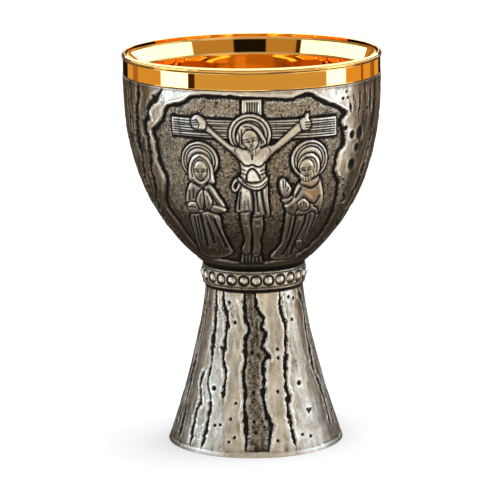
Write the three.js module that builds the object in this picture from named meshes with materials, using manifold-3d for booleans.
// Communion chalice: a gilt drinking cup that screws down into a relief-cast silver bowl casing,
// on a beaded collar and a flared bark-textured foot.
// Millimetres, +Z up. The origin is the centre of the foot's rest plane, and the relief panel faces -Y.
import * as THREE from "three";
import { mergeVertices } from "three/addons/utils/BufferGeometryUtils.js";
import Module from "manifold-3d";

const wasm = await Module();
wasm.setup();

// ---- Driving dimensions ----
const HEIGHT = 170; // foot to lip
const GAP = 0.3; // clearance left between touching pieces
const SEGMENTS = 60; // facets round the large turned pieces
const SMALL_SEGMENTS = 32; // facets round the hardware

const FOOT = { rBase: 38, rTop: 21.2, height: 69, flare: 1.39, wall: 2.2 };
const COLLAR = { zLow: 69.3, zHigh: 78.3, rBore: 13, rEdge: 21.6, rBelly: 22.7, flange: 2, wall: 2.4 };
const BEADS = { count: 26, radius: 2.35, proud: 0.7 };
// The bowl's outer radius follows r = radius * (1 - ((zEquator - z) / depth) ^ drop) ^ (1 / round).
const BOWL = { radius: 55.4, zEquator: 165, depth: 99, drop: 2.65, round: 1.3, wall: 1.9, floor: 2.6 };
const BOWL_LOW = COLLAR.zHigh + GAP;
const BOWL_HIGH = 160.3;
// The cup's radius follows r = rFlat + span * (1 - (1 - rise) ^ swell) ^ squat, up to the rim band.
const CUP = { wall: 1, clearance: 0.6, zBottom: 88.3, rFlat: 12, swell: 2.35, squat: 0.62 };
const RIM = { rOuter: 55, wall: 0.8, zLow: BOWL_HIGH + GAP, lipRadius: 0.9, lipProud: 0.55, arc: 0.35 };
const BASE_RING = { rInner: 26, thickness: 1.8 };
const PLATE = { thickness: 2.6, zTop: 68.8 };
const THREAD = { pitch: 1.5, turns: 7, rMajor: 4.7, rBore: 5 };
const BUSH = { rBarrel: 6.5, rFlange: 9.5, zTop: 72 };
const WASHER = { rInner: 5.6, rOuter: 13, thickness: 1.4 };
const BOSS = { radius: 11, rShoulder: 13, shoulder: 0.45 };
const STUD = { zLow: BUSH.zTop - THREAD.pitch * THREAD.turns, chamfer: 0.8 };
const DOWEL = { radius: 1.5, offset: 17, zLow: 66.6, zHigh: 80.6, segments: 20 };
const CURVE_STEPS = { foot: 9, belly: 6, casing: 12, cup: 11, lip: 9 };
// Steps up a bowl's wall are packed towards its bottom, where it curves most.
const CASING_PACKING = 1.25;
const CUP_PACKING = 1.5;

const SILVER = { color: 0xb9b2a2, roughness: 0.35, metalness: 1 };
const GILT = { color: 0xe0a64a, roughness: 0.1, metalness: 1 };
const BRASS = { color: 0xb8924c, roughness: 0.35, metalness: 1 };
const STEEL = { color: 0x9a9a9c, roughness: 0.3, metalness: 1 };
const LEATHER = { color: 0x5a3a22, roughness: 0.8, metalness: 0 };

// ---- Profile formulas ----
const footRadius = (z) => FOOT.rTop + (FOOT.rBase - FOOT.rTop) * (1 - z / FOOT.height) ** FOOT.flare;

function bowlRadius(z) {
  const drop = Math.max(0, (BOWL.zEquator - z) / BOWL.depth);
  return BOWL.radius * (1 - drop ** BOWL.drop) ** (1 / BOWL.round);
}

// The cup is the bowl's own curve set in by the casing's wall, with a flat spun bottom.
function cupRadius(z) {
  const inset = BOWL.wall + CUP.clearance;
  const rise = (z - CUP.zBottom) / (RIM.zLow - CUP.zBottom);
  const span = bowlRadius(RIM.zLow) - inset - CUP.rFlat;
  return CUP.rFlat + span * (1 - (1 - rise) ** CUP.swell) ** CUP.squat;
}

// ---- Shape helpers ----
const steps = (from, to, count) =>
  Array.from({ length: count + 1 }, (_, i) => from + ((to - from) * i) / count);

// A closed ring or solid of revolution about Z from (radius, z) points listed anticlockwise.
function turned(points, segments = SEGMENTS) {
  const first = points[0];
  const closed = first[0] > 0 ? [...points, first] : points;
  const geometry = new THREE.LatheGeometry(
    closed.map(([r, z]) => new THREE.Vector2(r, z)),
    segments,
  );
  return geometry.rotateX(Math.PI / 2);
}

const tube = (rInner, rOuter, zLow, zHigh, segments = SMALL_SEGMENTS) =>
  turned([[rInner, zLow], [rOuter, zLow], [rOuter, zHigh], [rInner, zHigh]], segments);

const bar = (radius, zLow, zHigh, segments = SMALL_SEGMENTS) =>
  turned([[0, zLow], [radius, zLow], [radius, zHigh], [0, zHigh]], segments);

function toSolid(geometry) {
  const bare = geometry.clone();
  bare.deleteAttribute("normal");
  bare.deleteAttribute("uv");
  const merged = mergeVertices(bare, 1e-4);
  return new wasm.Manifold(
    new wasm.Mesh({
      numProp: 3,
      vertProperties: merged.attributes.position.array,
      triVerts: new Uint32Array(merged.index.array),
    }),
  );
}

function toGeometry(solid) {
  const mesh = solid.getMesh();
  const geometry = new THREE.BufferGeometry();
  geometry.setAttribute("position", new THREE.BufferAttribute(new Float32Array(mesh.vertProperties), 3));
  geometry.setIndex(new THREE.BufferAttribute(mesh.triVerts, 1));
  geometry.computeVertexNormals();
  return geometry;
}

// The drill runs right through the top plate below and stops just past the dowels' upper ends.
function drilledForDowels(geometry) {
  const zStart = DOWEL.zLow - PLATE.thickness;
  const drill = bar(DOWEL.radius + GAP, zStart, DOWEL.zHigh + GAP);
  const hole = (side) => drill.clone().translate(side * DOWEL.offset, 0, 0);
  const drilled = [-1, 1].reduce((solid, side) => solid.subtract(toSolid(hole(side))), toSolid(geometry));
  return toGeometry(drilled);
}

const chalice = new THREE.Group();

function add(name, geometry, finish) {
  const mesh = new THREE.Mesh(geometry, new THREE.MeshStandardMaterial(finish));
  mesh.name = name;
  chalice.add(mesh);
  return mesh;
}

// ---- Foot ----
function footShell() {
  const outer = steps(0, FOOT.height, CURVE_STEPS.foot).map((z) => [footRadius(z), z]);
  const inner = steps(FOOT.height, 0, CURVE_STEPS.foot).map((z) => [footRadius(z) - FOOT.wall, z]);
  return turned([...outer, ...inner]);
}

const baseRing = () =>
  turned([
    [BASE_RING.rInner, 0],
    [footRadius(0) - FOOT.wall - GAP, 0],
    [footRadius(BASE_RING.thickness) - FOOT.wall - GAP, BASE_RING.thickness],
    [BASE_RING.rInner, BASE_RING.thickness],
  ]);

function topPlate() {
  const rim = footRadius(PLATE.zTop) - FOOT.wall - GAP;
  return drilledForDowels(tube(BUSH.rBarrel + GAP, rim, PLATE.zTop - PLATE.thickness, PLATE.zTop, SEGMENTS));
}

function threadedBush() {
  const zFlange = PLATE.zTop - PLATE.thickness - GAP;
  return turned(
    [
      [THREAD.rBore, STUD.zLow],
      [BUSH.rFlange, STUD.zLow],
      [BUSH.rFlange, zFlange],
      [BUSH.rBarrel, zFlange],
      [BUSH.rBarrel, BUSH.zTop],
      [THREAD.rBore, BUSH.zTop],
    ],
    SMALL_SEGMENTS,
  );
}

// ---- Beaded collar ----
function collarBody() {
  const { zLow, zHigh, rBore, rEdge, rBelly, flange, wall } = COLLAR;
  const belly = steps(-1, 1, CURVE_STEPS.belly).map((t) => [
    rEdge + (rBelly - rEdge) * Math.sqrt(1 - t * t),
    (zLow + zHigh) / 2 + ((zHigh - zLow) / 2) * t,
  ]);
  return turned([
    [rBore, zLow],
    ...belly,
    [rBore, zHigh],
    [rBore, zHigh - flange],
    [rEdge - wall, zHigh - flange],
    [rEdge - wall, zLow + flange],
    [rBore, zLow + flange],
  ]);
}

function beadedCollar() {
  const z = (COLLAR.zLow + COLLAR.zHigh) / 2;
  const rCentre = COLLAR.rBelly - BEADS.radius + BEADS.proud;
  let solid = toSolid(collarBody());
  for (let i = 0; i < BEADS.count; i += 1) {
    const angle = (i * 2 * Math.PI) / BEADS.count;
    const bead = new THREE.IcosahedronGeometry(BEADS.radius, 1);
    bead.translate(rCentre * Math.cos(angle), rCentre * Math.sin(angle), z);
    solid = solid.add(toSolid(bead));
  }
  return drilledForDowels(toGeometry(solid));
}

const dowel = (side) =>
  bar(DOWEL.radius, DOWEL.zLow, DOWEL.zHigh, DOWEL.segments).translate(side * DOWEL.offset, 0, 0);

// ---- Bowl casing: the shell that carries the cast relief ----
// The wall is measured square to the bowl's slope, so low down it takes more of the radius.
function casingInner(z) {
  const rise = 0.5;
  const slope = (bowlRadius(z + rise) - bowlRadius(z - rise)) / (2 * rise);
  return bowlRadius(z) - BOWL.wall * Math.hypot(1, slope);
}

function bowlCasing() {
  const span = BOWL_HIGH - BOWL_LOW;
  const zs = steps(0, 1, CURVE_STEPS.casing).map((t) => BOWL_LOW + span * t ** CASING_PACKING);
  const outer = zs.map((z) => [bowlRadius(z), z]);
  const floorTop = BOWL_LOW + BOWL.floor;
  const inner = zs
    .filter((z) => z > floorTop + 1)
    .reverse()
    .map((z) => [casingInner(z), z]);
  const rHole = THREAD.rBore + 1;
  const bottom = [
    [casingInner(floorTop), floorTop],
    [rHole, floorTop],
  ];
  return drilledForDowels(turned([[rHole, BOWL_LOW], ...outer, ...inner, ...bottom]));
}

// ---- Seat washer ----
function seatWasher() {
  const zLow = BOWL_LOW + BOWL.floor + GAP;
  return tube(WASHER.rInner, WASHER.rOuter, zLow, zLow + WASHER.thickness);
}

// ---- Cup, boss and threaded stud ----
// The spun cup's rim band sits over the casing's edge; inside it is a plain cone up to the rolled lip.
function cupLiner() {
  const { wall, zBottom, rFlat } = CUP;
  const { rOuter, zLow, lipRadius, lipProud, arc } = RIM;
  const rRimInner = rOuter - RIM.wall;
  const lipCentre = [rOuter + lipProud - lipRadius, HEIGHT - lipRadius];
  const zs = steps(0, 1, CURVE_STEPS.cup).map((t) => zBottom + (zLow - zBottom) * t ** CUP_PACKING);
  const outer = zs.map((z) => [cupRadius(z), z]);
  const inner = zs
    .slice(1)
    .reverse()
    .map((z) => [cupRadius(z) - wall, Math.max(z, zBottom + 1.05 * wall)]);
  const lip = steps(-arc * Math.PI, (1 + arc) * Math.PI, CURVE_STEPS.lip).map((a) => [
    lipCentre[0] + lipRadius * Math.cos(a),
    lipCentre[1] + lipRadius * Math.sin(a),
  ]);
  return turned([
    [0, zBottom],
    ...outer,
    [rOuter, zLow],
    [rOuter, HEIGHT - 2.7 * lipRadius],
    ...lip,
    [rRimInner, HEIGHT - 2 * lipRadius],
    ...inner,
    [rFlat - wall, zBottom + wall],
    [0, zBottom + wall],
  ]);
}

function cupBoss() {
  const zLow = BOWL_LOW + BOWL.floor + WASHER.thickness + 2 * GAP;
  const zHigh = CUP.zBottom - GAP;
  const zShoulder = zLow + (zHigh - zLow) * BOSS.shoulder;
  return turned(
    [
      [THREAD.rBore, zLow],
      [BOSS.rShoulder, zLow],
      [BOSS.rShoulder, zShoulder],
      [BOSS.radius, zHigh],
      [THREAD.rBore, zHigh],
    ],
    SMALL_SEGMENTS,
  );
}

function tieStud() {
  const zHigh = CUP.zBottom - 2 * GAP;
  return turned(
    [
      [0, STUD.zLow],
      [THREAD.rMajor - STUD.chamfer, STUD.zLow],
      [THREAD.rMajor, STUD.zLow + STUD.chamfer],
      [THREAD.rMajor, zHigh],
      [0, zHigh],
    ],
    SMALL_SEGMENTS,
  );
}

add("foot_shell", footShell(), SILVER);
add("base_ring", baseRing(), BRASS);
add("stem_top_plate", topPlate(), BRASS);
add("threaded_bush", threadedBush(), BRASS);
add("beaded_collar", beadedCollar(), SILVER);
add("dowel_left", dowel(-1), STEEL);
add("dowel_right", dowel(1), STEEL);
add("bowl_casing", bowlCasing(), SILVER);
add("seat_washer", seatWasher(), LEATHER);
add("cup_liner", cupLiner(), GILT);
add("cup_boss", cupBoss(), BRASS);
add("tie_stud", tieStud(), STEEL);

export default chalice;
